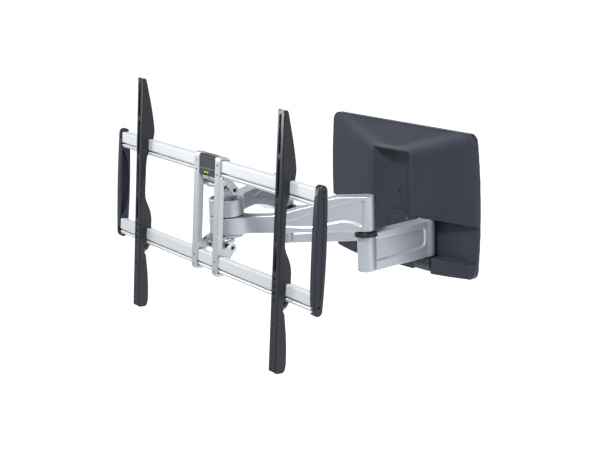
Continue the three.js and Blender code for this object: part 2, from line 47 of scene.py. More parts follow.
# ---------------------------------------------------------------- driving dimensions
WALL_PIVOT_X, WALL_PIVOT_Y = 102.0, -29.0
L_LOWER, L_UPPER = 184.0, 292.0
HUB = (-71.0, -434.5)
FRAME_AT, FRAME_YAW, FRAME_TILT = (-75.25, -480.3, 13.4), -5.3, 4.5
LOWER_Z, UPPER_Z = (-121.0, -40.0), (-34.0, 42.0)
ELBOW_R, RING_R, HUB_R = 18.3, 24.2, 36.4
LINK_HALF = 16.3
PLATE_HALF, PLATE_BOW, PLATE_TOP, RIM_DEPTH = 234.0, 10.0, 158.0, 14.5
COVER_FRONT, COVER_WALL = 42.0, 4.0
POCKET_HALF, POCKET_TOP = 60.0, 100.0
RECESS_X, RECESS_Z = 78.0, (-124.0, -38.6)
RAIL_LEN, RAIL_H, RAIL_DEPTH = 824.0, 35.4, 18.0
RAIL_TOPS = {"top_rail": 118.3, "bottom_rail": -82.9}
STRUT_IN, STRUT_OUT = 33.0, 55.5
TILT_AXIS, LOWER_PIN = (33.0, 56.0), (33.0, -66.0)     # (depth, height) in the television frame
TIE_BAR = (-31.6, -58.0, 6.0)                           # depth, height and radius in the hub frame
STRUT_SCREWS, CAP_SCREWS = (107.1, 86.9, -95.3, -115.6), (112, 100)
BRACKET_PITCH, BRACKET_SHIFT, BRACKET_W, BRACKET_D = 600.0, 11.5, 25.8, 18.5
BRACKET_TOP, BRACKET_FOOT = 254.5, -261.4
STRAP_FRONT, STRAP_BACK, STRAP_END = -4.5, 20.8, 126.5      # a strut seen from the side
LEVEL_AT = (-2.0, -2.2, 86.6)                           # middle of the vial
LAGS = ((-203.2, 112), (203.2, 112), (-203.2, -15), (203.2, -15))
COVER_SCREW_Z = 3.0
SIDES = (("right", 1), ("left", -1))

CAMERA_TURN = (53.27, 12.92, -1.586)                    # degrees round, down and roll
CAMERA_AT, CAMERA_LENS = (2.66438, -2.28363, 0.73407), 96.354
FLOOR_Z, FLOOR_HALF = -1.6, 60.0                        # metres


# ---------------------------------------------------------------- frames of the bodies
def turn(yaw=0.0, tilt=0.0):
    a, b = math.radians(yaw), math.radians(-tilt)
    about_z = np.array([[math.cos(a), -math.sin(a), 0], [math.sin(a), math.cos(a), 0], [0, 0, 1]])
    about_x = np.array([[1, 0, 0], [0, math.cos(b), -math.sin(b)], [0, math.sin(b), math.cos(b)]])
    return about_z @ about_x


def elbow(side):
    """Where the lower and upper link meet, on the outer side of the line from wall pivot to hub."""
    pivot = np.array([side * WALL_PIVOT_X, WALL_PIVOT_Y])
    to_hub = np.array(HUB) - pivot
    span = np.linalg.norm(to_hub)
    along = (L_LOWER**2 - L_UPPER**2 + span**2) / (2 * span)
    out = math.sqrt(L_LOWER**2 - along**2)
    u = to_hub / span
    both = [pivot + along * u + s * out * np.array([-u[1], u[0]]) for s in (1, -1)]
    return max(both, key=lambda p: side * p[0])


def heading(a, b):
    return math.degrees(math.atan2(b[1] - a[1], b[0] - a[0]))


PLACE = {"wall": (turn(), (0, 0, 0)), "hub": (turn(FRAME_YAW), (*HUB, 0)),
         "tv": (turn(FRAME_YAW, FRAME_TILT), FRAME_AT)}
for _name, _s in SIDES:
    _pivot, _elbow = (_s * WALL_PIVOT_X, WALL_PIVOT_Y), elbow(_s)
    PLACE[_name + "_lower"] = (turn(heading(_pivot, _elbow)), (*_pivot, 0))
    PLACE[_name + "_upper"] = (turn(heading(_elbow, HUB)), (*_elbow, 0))


def in_hub(depth, height):
    """A point of the television frame's middle plane, as (y, z) in the hub's frame."""
    c, s = math.cos(math.radians(FRAME_TILT)), math.sin(math.radians(FRAME_TILT))
    set_back = math.hypot(FRAME_AT[0] - HUB[0], FRAME_AT[1] - HUB[1])
    return -(set_back - height * s - depth * c), FRAME_AT[2] + height * c - depth * s


# ---------------------------------------------------------------- distance shapes
# A shape is a function of x, y, z that is negative inside. Outlines are the same in two dimensions.
def smooth_min(a, b, k):
    if k <= 0:
        return np.minimum(a, b)
    h = np.maximum(k - np.abs(a - b), 0) / k
    return np.minimum(a, b) - h * h * k / 4


def join(*shapes, k=0.0):
    def f(*p):
        d = shapes[0](*p)
        for s in shapes[1:]:
            d = smooth_min(d, s(*p), k)
        return d
    return f


def meet(*shapes, k=0.0):
    def f(*p):
        d = shapes[0](*p)
        for s in shapes[1:]:
            d = -smooth_min(-d, -s(*p), k)
        return d
    return f


def cut(shape, *tools, k=0.0):
    return meet(shape, *[(lambda *p, t=t: -t(*p)) for t in tools], k=k)


def plane(nx, ny, nz, at):
    """Inside is where n.p < n.at."""
    n = np.array([nx, ny, nz], float)
    n /= np.linalg.norm(n)
    c = float(n @ np.array(at, float))
    return lambda x, y, z: n[0] * x + n[1] * y + n[2] * z - c


def disc(cu, cv, radius):
    return lambda u, v: np.hypot(u - cu, v - cv) - radius


def pill(cu, cv, length, width):
    """A rounded slot along the second axis."""
    h = (length - width) / 2
    return lambda u, v: np.hypot(u - cu, v - cv - np.clip(v - cv, -h, h)) - width / 2


def outline(points):
    pts = np.array(points, float)

    def f(u, v):
        best, sign = np.full(np.shape(u), 1e12), np.ones(np.shape(u))
        for a, b in zip(pts, np.roll(pts, -1, 0)):
            e = b - a
            wu, wv = u - a[0], v - a[1]
            t = np.clip((wu * e[0] + wv * e[1]) / (e @ e), 0, 1)
            best = np.minimum(best, (wu - e[0] * t) ** 2 + (wv - e[1] * t) ** 2)
            above, below, left = v >= a[1], v < b[1], e[0] * wv > e[1] * wu
            flip = (above & below & left) | ~(above | below | left)
            sign = np.where(flip, -sign, sign)
        return sign * np.sqrt(best)
    return f


AXES = {"x": (1, 2, 0), "y": (0, 2, 1), "z": (0, 1, 2)}


def slab(flat, axis, lo, hi, r=0.8):
    """An outline pushed along an axis from lo to hi, its edges rounded by r."""
    iu, iv, iw = AXES[axis]
    mid, half = (lo + hi) / 2, abs(hi - lo) / 2

    def f(*p):
        a = flat(p[iu], p[iv]) + r
        b = np.abs(p[iw] - mid) - half + r
        return np.minimum(np.maximum(a, b), 0) + np.hypot(np.maximum(a, 0), np.maximum(b, 0)) - r
    return f


def rod(axis, cu, cv, radius, lo, hi, r=0.6):
    return slab(disc(cu, cv, radius), axis, lo, hi, r)


def block(x0, x1, y0, y1, z0, z1, r=0.8):
    c = ((x0 + x1) / 2, (y0 + y1) / 2, (z0 + z1) / 2)
    h = (abs(x1 - x0) / 2 - r, abs(y1 - y0) / 2 - r, abs(z1 - z0) / 2 - r)

    def f(*p):
        q = [np.abs(p[i] - c[i]) - h[i] for i in range(3)]
        out = np.sqrt(sum(np.maximum(v, 0) ** 2 for v in q))
        return out + np.minimum(np.maximum(q[0], np.maximum(q[1], q[2])), 0) - r
    return f


def curve(points, steps=5):
    """A smooth line through the points, as more points (Catmull-Rom)."""
    p = np.array(points, float)
    p = np.vstack([2 * p[0] - p[1], p, 2 * p[-1] - p[-2]])
    out = []
    for a, b, c, d in zip(p[:-3], p[1:-2], p[2:-1], p[3:]):
        for t in np.arange(steps) / steps:
            out.append(0.5 * (2 * b + (c - a) * t + (2 * a - 5 * b + 4 * c - d) * t**2
                              + (3 * b - a - 3 * c + d) * t**3))
    return [tuple(q) for q in out] + [tuple(p[-2])]


# ---------------------------------------------------------------- surfaces of the shapes
CELLS = 6        # cells of a block along each side


def spread(cells):
    """The nodes that touch any of these cells."""
    nodes = np.zeros(np.array(cells.shape) + 1, bool)
    for i in (0, 1):
        for j in (0, 1):
            for k in (0, 1):
                view = nodes[i:i + cells.shape[0], j:j + cells.shape[1], k:k + cells.shape[2]]
                view |= cells
    return nodes


def blow_up(a):
    for axis in range(3):
        a = np.repeat(a, CELLS, axis)
    return a


def surface(shape, lo, hi, step):
    """Quads on the zero of the shape inside the box: vertices, faces and outward normals."""
    step = step * COARSE
    lo = np.array(lo, float) - 1.5 * step
    blocks = np.ceil((np.array(hi, float) + 1.5 * step - lo) / (step * CELLS)).astype(int)
    side = CELLS * step
    centres = [lo[i] + side * (np.arange(blocks[i]) + 0.5) for i in range(3)]
    coarse = shape(*np.meshgrid(*centres, indexing="ij"))
    near = np.abs(coarse) < side * 0.5 * math.sqrt(3) * 1.35
    active = blow_up(near)
    nodes = spread(active)
    value = np.where(np.pad(blow_up(coarse), ((0, 1),) * 3, mode="edge") < 0, -99.0, 99.0)
    at = np.argwhere(nodes)
    where = lo + at * step
    value[nodes] = shape(where[:, 0], where[:, 1], where[:, 2])
    inside = value < 0
    count = sum(inside[i:i + active.shape[0], j:j + active.shape[1], k:k + active.shape[2]].astype(int)
                for i in (0, 1) for j in (0, 1) for k in (0, 1))
    mixed = active & (count > 0) & (count < 8)
    cells = np.argwhere(mixed)
    number = np.full(active.shape, -1)
    number[mixed] = np.arange(len(cells))
    total, crossings = np.zeros((len(cells), 3)), np.zeros(len(cells))
    corners = [np.array([i, j, k]) for i in (0, 1) for j in (0, 1) for k in (0, 1)]
    for a in corners:
        for b in corners:
            if (b - a).sum() != 1 or (b - a).min() < 0:
                continue
            va, vb = value[tuple((cells + a).T)], value[tuple((cells + b).T)]
            crossing = (va < 0) != (vb < 0)
            t = np.where(crossing, va / np.where(va == vb, 1, va - vb), 0)
            total += crossing[:, None] * (a + t[:, None] * (b - a))
            crossings += crossing
    points = lo + (cells + total / crossings[:, None]) * step
    quads = []
    for axis in range(3):
        b, c = (axis + 1) % 3, (axis + 2) % 3
        first = [slice(None)] * 3
        second = [slice(None)] * 3
        first[axis], second[axis] = slice(None, -1), slice(1, None)
        crossing = inside[tuple(first)] != inside[tuple(second)]
        edges = np.argwhere(crossing)
        keep = (edges[:, b] > 0) & (edges[:, c] > 0)
        keep &= (edges[:, b] < active.shape[b]) & (edges[:, c] < active.shape[c])
        edges = edges[keep]
        eb, ec = np.eye(3, dtype=int)[b], np.eye(3, dtype=int)[c]
        ring = [number[tuple((edges - o).T)] for o in (0 * eb, eb, eb + ec, ec)]
        quad = np.stack(ring, 1)
        out = inside[tuple(edges.T)]
        quads.append(np.where(out[:, None], quad, quad[:, ::-1]))
    quads = np.vstack(quads)
    quads = quads[(quads >= 0).all(1)]
    for _ in range(3):
        d, g = slope(shape, points, 0.2 * step)
        move = g * (d / np.maximum((g * g).sum(1), 0.05))[:, None]
        length = np.linalg.norm(move, axis=1)
        points -= move * np.minimum(1, 0.6 * step / np.maximum(length, 1e-9))[:, None]
    _, g = slope(shape, points, 0.12 * step)
    return points, quads, g / np.maximum(np.linalg.norm(g, axis=1), 1e-9)[:, None]


def slope(shape, p, h):
    d = shape(p[:, 0], p[:, 1], p[:, 2])
    g = np.zeros_like(p)
    for i in range(3):
        e = np.eye(3)[i] * h
        up, down = p + e, p - e
        g[:, i] = shape(up[:, 0], up[:, 1], up[:, 2]) - shape(down[:, 0], down[:, 1], down[:, 2])
    return d, g / (2 * h)


# ---------------------------------------------------------------- meshes
def mesh_piece(name, points, faces, place, body, slot, nodes=(), normals=None, material=None):
    """A piece from millimetres in a body's own frame. It rides on body and stands for the CAD nodes."""
    r, t = PLACE[place]
    world = (np.asarray(points, float) @ r.T + np.array(t, float)) / 1000
    mesh = bpy.data.meshes.new(name)
    mesh.from_pydata(world.tolist(), [], [list(map(int, f)) for f in faces])
    mesh.update(calc_edges=True)
    mesh.shade_smooth()
    if normals is not None:
        mesh.normals_split_custom_set_from_vertices((np.asarray(normals) @ r.T).tolist())
    obj = bpy.data.objects.new(name, mesh)
    bpy.context.scene.collection.objects.link(obj)
    mesh.materials.append(material or MATERIALS[slot])
    if normals is None:
        weigh = obj.modifiers.new("weighted", "WEIGHTED_NORMAL")
        weigh.keep_sharp, weigh.weight = True, 80
    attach(obj, body)
    if nodes:
        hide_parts(*nodes)
    return obj


def cast(name, shape, lo, hi, step, place, body, slot, nodes=(), material=None):
    points, faces, normals = surface(shape, lo, hi, step)
    return mesh_piece(name, points, faces, place, body, slot, nodes, normals, material)


def soften(points, r, steps=3):
    """Every corner of a closed outline as a small arc."""
    p = [np.array(q, float) for q in points]
    out = []
    for i, corner in enumerate(p):
        a, b = p[i - 1] - corner, p[(i + 1) % len(p)] - corner
        la, lb = np.linalg.norm(a), np.linalg.norm(b)
        cosine = float(np.clip(a @ b / (la * lb), -1, 1))
        angle = math.acos(cosine)
        if angle > math.radians(172):
            out.append(tuple(corner))
            continue
        back = min(r / math.tan(angle / 2), 0.45 * la, 0.45 * lb)
        start, end = corner + a / la * back, corner + b / lb * back
        for k in range(steps + 1):
            t = k / steps
            out.append(tuple((1 - t) ** 2 * start + 2 * t * (1 - t) * corner + t * t * end))
    return out


def along(axis, u, v, w):
    p = [0.0, 0.0, 0.0]
    iu, iv, iw = AXES[axis]
    p[iu], p[iv], p[iw] = u, v, w
    return p


def extruded(points, axis, lo, hi, bevel=0.4):
    """A prism of an outline with its two end edges broken by a bevel."""
    p = np.array(points, float)
    edge = np.roll(p, -1, 0) - p
    normal = np.stack([edge[:, 1], -edge[:, 0]], 1)
    normal /= np.maximum(np.linalg.norm(normal, axis=1), 1e-9)[:, None]
    corner = normal + np.roll(normal, 1, 0)
    corner /= np.maximum(np.linalg.norm(corner, axis=1), 1e-9)[:, None]
    area = 0.5 * (p[:, 0] * np.roll(p[:, 1], -1) - np.roll(p[:, 0], -1) * p[:, 1]).sum()
    inset = p - corner * bevel * (1 if area > 0 else -1)
    rings = [(inset, lo), (p, lo + bevel), (p, hi - bevel), (inset, hi)]
    verts = [along(axis, u, v, w) for ring, w in rings for u, v in ring]
    n = len(p)
    faces = [[k * n + i, k * n + (i + 1) % n, (k + 1) * n + (i + 1) % n, (k + 1) * n + i]
             for k in range(3) for i in range(n)]
    faces += [list(range(n))[::-1], [3 * n + i for i in range(n)]]
    return verts, faces


def turned(profile, axis, cu, cv, segments=64, round_by=0.5):
    """A closed (radius, height) outline turned about an axis line. It may touch the axis."""
    ring = soften(profile, round_by) if round_by else list(profile)
    ring = [(max(r, 0.0), w) for r, w in ring]
    verts, faces, index = [], [], []
    for r, w in ring:
        if r < 1e-6:
            verts.append(along(axis, cu, cv, w))
            index.append([len(verts) - 1] * segments)
            continue
        index.append(list(range(len(verts), len(verts) + segments)))
        for k in range(segments):
            a = 2 * math.pi * k / segments
            verts.append(along(axis, cu + r * math.cos(a), cv + r * math.sin(a), w))
    for i, one in enumerate(index):
        two = index[(i + 1) % len(index)]
        for k in range(segments):
            m = (k + 1) % segments
            face = []
            for v in (one[k], one[m], two[m], two[k]):
                if v not in face:
                    face.append(v)
            if len(face) > 2:
                faces.append(face)
    return verts, faces


def outward(verts, faces):
    """Turns all faces over if the closed mesh's volume is negative."""
    v = np.array(verts)
    volume = 0.0
    for f in faces:
        for i in range(1, len(f) - 1):
            volume += np.dot(v[f[0]], np.cross(v[f[i]], v[f[i + 1]]))
    return faces if volume > 0 else [f[::-1] for f in faces]


def plain(name, made, place, body, slot, nodes=(), material=None):
    verts, faces = made
    return mesh_piece(name, verts, outward(verts, faces), place, body, slot, nodes, None, material)


# ---------------------------------------------------------------- materials
def wire(tree, a, b):
    tree.links.new(a, b)


def noise(tree, coords, scale, detail=3.0, rough=0.55):
    n = tree.nodes.new("ShaderNodeTexNoise")
    n.inputs["Scale"].default_value = scale
    n.inputs["Detail"].default_value = detail
    n.inputs["Roughness"].default_value = rough
    wire(tree, coords, n.inputs["Vector"])
    return n.outputs["Fac"]


def fit_range(tree, value, lo, hi, from_lo=0.3, from_hi=0.7):
    m = tree.nodes.new("ShaderNodeMapRange")
    m.inputs["From Min"].default_value, m.inputs["From Max"].default_value = from_lo, from_hi
    m.inputs["To Min"].default_value, m.inputs["To Max"].default_value = lo, hi
    wire(tree, value, m.inputs["Value"])
    return m.outputs["Result"]


def blend_colour(tree, fac, a, b):
    m = tree.nodes.new("ShaderNodeMix")
    m.data_type = "RGBA"
    wire(tree, fac, m.inputs["Factor"])
    for socket, value in ((m.inputs[6], a), (m.inputs[7], b)):
        if isinstance(value, tuple):
            socket.default_value = (*value, 1)
        else:
            wire(tree, value, socket)
    return m.outputs[2]


def shade(colour, by):
    return tuple(min(1.0, c * by) for c in colour)


def finish_of(name, colour, metal, rough, grain, bump, mottle=0.06, edge=0.0, streak=0.0,
              coat=0.0, specular=0.5):
    """A coated or moulded surface: fine grain, slow mottling, uneven gloss, and convex edges painted paler,
    partly as wear and partly as a painted highlight.

    grain is the size of the fine texture in metres, bump its height, and streak how far it is
    drawn out along the television rails.
    """
    mat = bpy.data.materials.new(name)
    mat.use_nodes = True
    tree = mat.node_tree
    bsdf = tree.nodes["Principled BSDF"]
    coords = tree.nodes.new("ShaderNodeTexCoord").outputs["Object"]
    fine_coords = coords
    if streak:
        m = tree.nodes.new("ShaderNodeMapping")
        m.inputs["Rotation"].default_value = (0, 0, math.radians(-FRAME_YAW))
        m.inputs["Scale"].default_value = (1 / streak, 1, 1)
        wire(tree, coords, m.inputs["Vector"])
        fine_coords = m.outputs["Vector"]
    fine = noise(tree, fine_coords, 0.5 / grain, 2.0)
    slow = noise(tree, coords, 14.0, 4.0)
    dark, pale = shade(colour, 1 - mottle), shade(colour, 1 + mottle)
    tone = blend_colour(tree, fit_range(tree, slow, 0, 1), dark, pale)
    speckle = blend_colour(tree, fit_range(tree, fine, 0, 0.35), tone, shade(colour, 1 - 2 * mottle))
    out = speckle
    # edge sets how strongly the convex edges found by Pointiness are painted paler: partly wear, partly a
    # painted highlight along the edges.
    if edge:
        geometry = tree.nodes.new("ShaderNodeNewGeometry")
        edge_wear_and_highlight = fit_range(tree, geometry.outputs["Pointiness"], 0, edge, 0.53, 0.62)
        out = blend_colour(tree, edge_wear_and_highlight, speckle, shade(colour, 1.5))
    wire(tree, out, bsdf.inputs["Base Color"])
    uneven = noise(tree, fine_coords if streak else coords, 1.0 / (grain * 6), 3.0)
    wire(tree, fit_range(tree, uneven, rough * 0.86, min(1.0, rough * 1.16)), bsdf.inputs["Roughness"])
    b = tree.nodes.new("ShaderNodeBump")
    b.inputs["Strength"].default_value = 0.6
    b.inputs["Distance"].default_value = bump
    wire(tree, fine, b.inputs["Height"])
    wire(tree, b.outputs["Normal"], bsdf.inputs["Normal"])
    bsdf.inputs["Metallic"].default_value = metal
    bsdf.inputs["Specular IOR Level"].default_value = specular
    bsdf.inputs["Coat Weight"].default_value = coat
    bsdf.inputs["Coat Roughness"].default_value = 0.2
    return mat


MATERIALS = {
    "cover": finish_of("moulded_charcoal", (0.027, 0.030, 0.043), 0.0, 0.36, 0.0009, 0.00003, 0.07, 0.3,
                       specular=0.26),
    "trim": finish_of("trim_charcoal", (0.021, 0.024, 0.035), 0.0, 0.34, 0.0007, 0.00003, 0.08, 0.3,
                      specular=0.3),
    "hidden_steel": finish_of("machined_steel", (0.42, 0.44, 0.46), 0.9, 0.34, 0.0006, 0.00004, 0.10),
    "cast_silver": finish_of("cast_silver_paint", (0.46, 0.49, 0.54), 0.55, 0.36, 0.0008, 0.00004, 0.04,
                             0.25),
    "black_nylon": finish_of("black_nylon", (0.012, 0.012, 0.014), 0.0, 0.30, 0.0005, 0.00003, 0.08),
    "anodised_rail": finish_of("anodised_rail", (0.61, 0.63, 0.66), 0.30, 0.34, 0.0005, 0.00003, 0.02,
                               streak=40.0),
    "silver_paint": finish_of("light_silver_paint", (0.46, 0.485, 0.52), 0.50, 0.36, 0.0007, 0.00004, 0.04,
                              0.25),
    "bracket_black": finish_of("powder_black", (0.015, 0.017, 0.024), 0.0, 0.22, 0.0007, 0.000012, 0.08, 0.3,
                               specular=0.34),
    "zinc_screws": finish_of("zinc_plate", (0.50, 0.51, 0.53), 0.95, 0.30, 0.0004, 0.00003, 0.10),
    "vial_green": finish_of("vial_green", (0.36, 0.72, 0.03), 0.0, 0.12, 0.0004, 0.00001, 0.10, coat=0.6),
}
# Near-black zinc for the small screws, also used on the two tilt axles: the dark colour is painted shade,
# standing in for the dark of the screw and pin holes.
HOLE_SHADE_ZINC = finish_of("zinc_painted_hole_shade", (0.016, 0.017, 0.020), 0.4, 0.34, 0.0004, 0.00003, 0.08)


# ---------------------------------------------------------------- wall plate, cover and pivots
def mirrored(shape, s):
    return lambda x, y, z: shape(s * x, y, z)


def half_width(z):
    """The plate's sides bow outwards."""
    return PLATE_HALF + PLATE_BOW * (1 - (z / PLATE_TOP) ** 2)


def cover_face():
    """The cover's outer skin: a hipped front with a pocket, two arm recesses, two ledges and an arch."""
    corner, flat_x, flat_top, flat_foot = 17.0, POCKET_HALF + 7, POCKET_TOP + 6, 110

    def plate(x, z):
        a, b = np.abs(x) - half_width(z) + corner, np.abs(z) - PLATE_TOP + corner
        return np.hypot(np.maximum(a, 0), np.maximum(b, 0)) + np.minimum(np.maximum(a, b), 0) - corner

    def crown(x, y, z):
        sideways = (np.abs(x) - flat_x) / (half_width(z) - flat_x)
        up = (z - flat_top) / (PLATE_TOP - flat_top)
        down = (-z - flat_foot) / (PLATE_TOP - flat_foot)
        s = -smooth_min(-sideways, smooth_min(-up, -down, 0.1), 0.42)
        s = -smooth_min(-s, 0 * s, 0.12)
        depth = RIM_DEPTH + (COVER_FRONT - RIM_DEPTH) * (1 - np.minimum(s, 1))
        return (-y - depth) * 0.88

    skin = meet(lambda x, y, z: plate(x, z), crown, k=2.4)

    def channel(x, y, z):
        """An upright elliptical bore, its axis 4 mm in front of the cover."""
        deep = 29.0
        u, v = x / POCKET_HALF, (y + COVER_FRONT + 4) / deep
        k0 = np.sqrt(u * u + v * v)
        k1 = np.sqrt((u / POCKET_HALF) ** 2 + (v / deep) ** 2)
        return np.minimum(k0 * (k0 - 1) / np.maximum(k1, 1e-6), 40)

    pocket = meet(channel, plane(0, 0, 1, (0, 0, POCKET_TOP)), k=6.0)
    foot = block(-POCKET_HALF, POCKET_HALF, -90, -22, -200, -88, 2.0)
    recess = block(RECESS_X, 300, -90, -8, RECESS_Z[0], RECESS_Z[1], 1.2)
    below = block(-300, 300, -90, -RIM_DEPTH - 0.5, -200, RECESS_Z[0], 0.5)
    skin = cut(skin, pocket, k=3.2)
    skin = cut(skin, foot, recess, mirrored(recess, -1), below, k=2.2)
    top, low = RECESS_Z[0], -PLATE_TOP
    front = plane(23, -112, 6, (120, -40, top))
    end = plane(9, -6, -2, (237, -9, top))
    ledge = meet(front, end, plane(-1, 0, 0, (120, 0, 0)), plane(0, 0, 1, (0, 0, top)),
                 plane(0.06, 0, -1, (180, 0, low)), lambda x, y, z: plate(x, z), k=3.0)
    skin = join(skin, ledge, mirrored(ledge, -1), k=0.8)

    def arch(x, z):
        half, rise, spring = 50.0, 52.0, -90
        u, v = x / half, np.maximum(z - spring, 0) / rise
        return (np.sqrt(u * u + v * v) - 1) * half

    return join(skin, slab(arch, "y", -25, -10, 1.6), k=0.8)


def cover_pieces():
    skin = cover_face()
    holes = [mirrored(block(67.7, 126.1, -90, -4.6, -220, RECESS_Z[0] + 0.2, 0.3), s) for _, s in SIDES]
    holes += [rod("z", s * WALL_PIVOT_X, WALL_PIVOT_Y, 6.0, -60, -28.6, 0.2) for _, s in SIDES]
    holes.append(rod("y", 0, COVER_SCREW_Z, 4.2, -30, -10, 0.4))
    shell = meet(skin, lambda x, y, z: y, lambda *p: -(skin(*p) + COVER_WALL))
    cast("cover_moulding", cut(shell, *holes, k=0.6), (-246, -44, -160), (246, 2, 160), 1.9,
         "wall", "wall", "cover", ["wall_cover"])

    def recess(x, y, z):
        a, b = np.abs(x), np.abs(z - COVER_SCREW_Z)
        cross = np.minimum(np.maximum(a - 0.55, b - 2.3), np.maximum(b - 0.55, a - 2.3))
        return -np.maximum(-(y + 15.4), cross)

    head = meet(rod("y", 0, COVER_SCREW_Z, 3.6, -16.6, -12.7, 0.5), recess)
    cast("cover_screw_head", head, (-4, -17, -1), (4, -12, 7), 0.35, "wall", "wall", "zinc_screws",
         ["cover_screw"], HOLE_SHADE_ZINC)


def steel_plate():
    """The plate behind the cover: lag slots, four pivot ears and pressed ribs in the back."""
    outer = outline(soften([(-222, -118), (-130, -118), (-130, -146), (130, -146), (130, -118), (222, -118),
                            (222, 138), (-222, 138)], 9))
    plate = slab(outer, "y", -4.2, 0, 0.6)
    slots = [slab(pill(x, z, 14, 9), "y", -9, 5, 0.1) for x, z in LAGS]
    plate = cut(plate, *slots, k=0.5)
    for _, s in SIDES:
        wide = meet(block(87, 117, -60, -3, -140, -135, 0.6), join(
            rod("z", WALL_PIVOT_X, WALL_PIVOT_Y, 11, -140, -135, 0.6),
            block(87, 117, WALL_PIVOT_Y, -3, -140, -135, 0.6), k=3.0))
        slim = join(rod("z", WALL_PIVOT_X, WALL_PIVOT_Y, 5.6, -34.8, -29.8, 0.6),
                    block(96.4, 107.6, WALL_PIVOT_Y, -3, -34.8, -29.8, 0.6), k=1.0)
        plate = join(plate, mirrored(wide, s), mirrored(slim, s), k=2.0)
        plate = cut(plate, rod("z", s * WALL_PIVOT_X, WALL_PIVOT_Y, 5.2, -150, -20, 0.1))
    ribs = [slab(pill(x, 10, 190, 12), "y", -1.4, 6, 0.8) for x in (-150, -50, 50, 150)]
    plate = cut(plate, *ribs, k=1.0)
    cast("steel_wall_plate", plate, (-223, -41, -147), (223, 1, 139), 2.2, "wall", "wall", "hidden_steel",
         ["wall_plate_steel"])


def hexagon(cu, cv, radius):
    sixth = math.pi / 3
    return outline([(cu + radius * math.cos(sixth * k), cv + radius * math.sin(sixth * k)) for k in range(6)])


def wall_pieces():
    cover_pieces()
    steel_plate()
    for i, (x, z) in enumerate(LAGS):
        head = meet(slab(hexagon(x, z, 7.3), "y", -10, -5.6, 0.3),
                    lambda a, b, c, x=x, z=z: (np.hypot(a - x, c - z) - (b + 10.0) * 1.7 - 6.2) * 0.5, k=0.3)
        bolt = join(head, rod("y", x, z, 8.6, -5.7, -4.5, 0.3), rod("y", x, z, 4.0, -5, 0, 0.3))
        cast(f"lag_screw_{i + 1}", bolt, (x - 9, -11, z - 9), (x + 9, 0.5, z + 9), 0.7,
             "wall", "wall", "zinc_screws", [f"lag_bolt_{i + 1}"])
    for side, s in SIDES:
        x, y = s * WALL_PIVOT_X, WALL_PIVOT_Y
        chamfers = [plane(-14, 0, -7.6, (68.4, 0, -140)), plane(-6, -5.6, 0, (68.4, -38, 0)),
                    plane(-3, -51, 0, (74, -44, 0)), plane(0, -14, -6, (0, -43.5, -140))]
        body = meet(block(68.4, 125.2, -44.5, -8, -154, RECESS_Z[0], 0.6), *chamfers, k=2.6)
        body = cut(body, block(85.7, 118.3, WALL_PIVOT_Y - 12.3, 0, -140.6, -134.4, 0.4),
                   rod("z", WALL_PIVOT_X, WALL_PIVOT_Y, 5.5, -146, -120, 0.2))
        corners = sorted((s * 67, s * 127))
        cast(f"pivot_housing_{side}", mirrored(body, s), (corners[0], -46, -156), (corners[1], -6, -122),
             1.1, "wall", "wall", "trim", [f"pivot_block_{side}"])
        plain(f"pivot_shaft_{side}", turned([(0, -144), (4.9, -144), (4.9, -29), (0, -29)], "z", x, y, 40),
              "wall", "wall", "hidden_steel", [f"wall_pivot_pin_{side}"])
        plain(f"pivot_washer_{side}", turned([(5.2, -123.7), (14, -123.7), (14, -121.3), (5.2, -121.3)],
              "z", x, y, 56, 0.4), "wall", "wall", "black_nylon", [f"wall_washer_{side}"])


# ---------------------------------------------------------------- arms
def two_sided(flat, face, depth):
    """The same shallow pocket in both flat sides of a link."""
    near = slab(flat, "y", face - depth, face + 20, 2.6)
    return lambda x, y, z: near(x, np.abs(y), z)


def lower_link():
    bar = block(0, L_LOWER, -LINK_HALF, LINK_HALF, *LOWER_Z, 1.6)
    wall_end = rod("z", 0, 0, ELBOW_R, *LOWER_Z, 2.0)
    elbow_end = rod("z", L_LOWER, 0, ELBOW_R, *LOWER_Z, 2.0)
    link = join(join(bar, wall_end, k=5.0), elbow_end, k=0.6)
    panel = outline(curve([(27, -54.8), (22, -60), (20.6, -70), (20.8, -82), (24, -91), (31, -95.2)], 4)
                    + [(60, -96.6), (168, -99.5), (168, -51.5), (60, -53.8)])
    groove = block(169.8, 172.6, 12, 30, -130, -30, 0.8)
    link = cut(link, two_sided(panel, LINK_HALF, 2.8), k=4.0)
    link = cut(link, lambda x, y, z: groove(x, np.abs(y), z), k=1.2)
    link = cut(link, rod("z", L_LOWER, 0, RING_R + 0.6, -45.3, -20, 0.5), rod("z", 0, 0, 5.6, -130, -30, 0.2),
               rod("z", L_LOWER, 0, 6.4, -114.5, -30, 0.2), k=0.8)
    return link


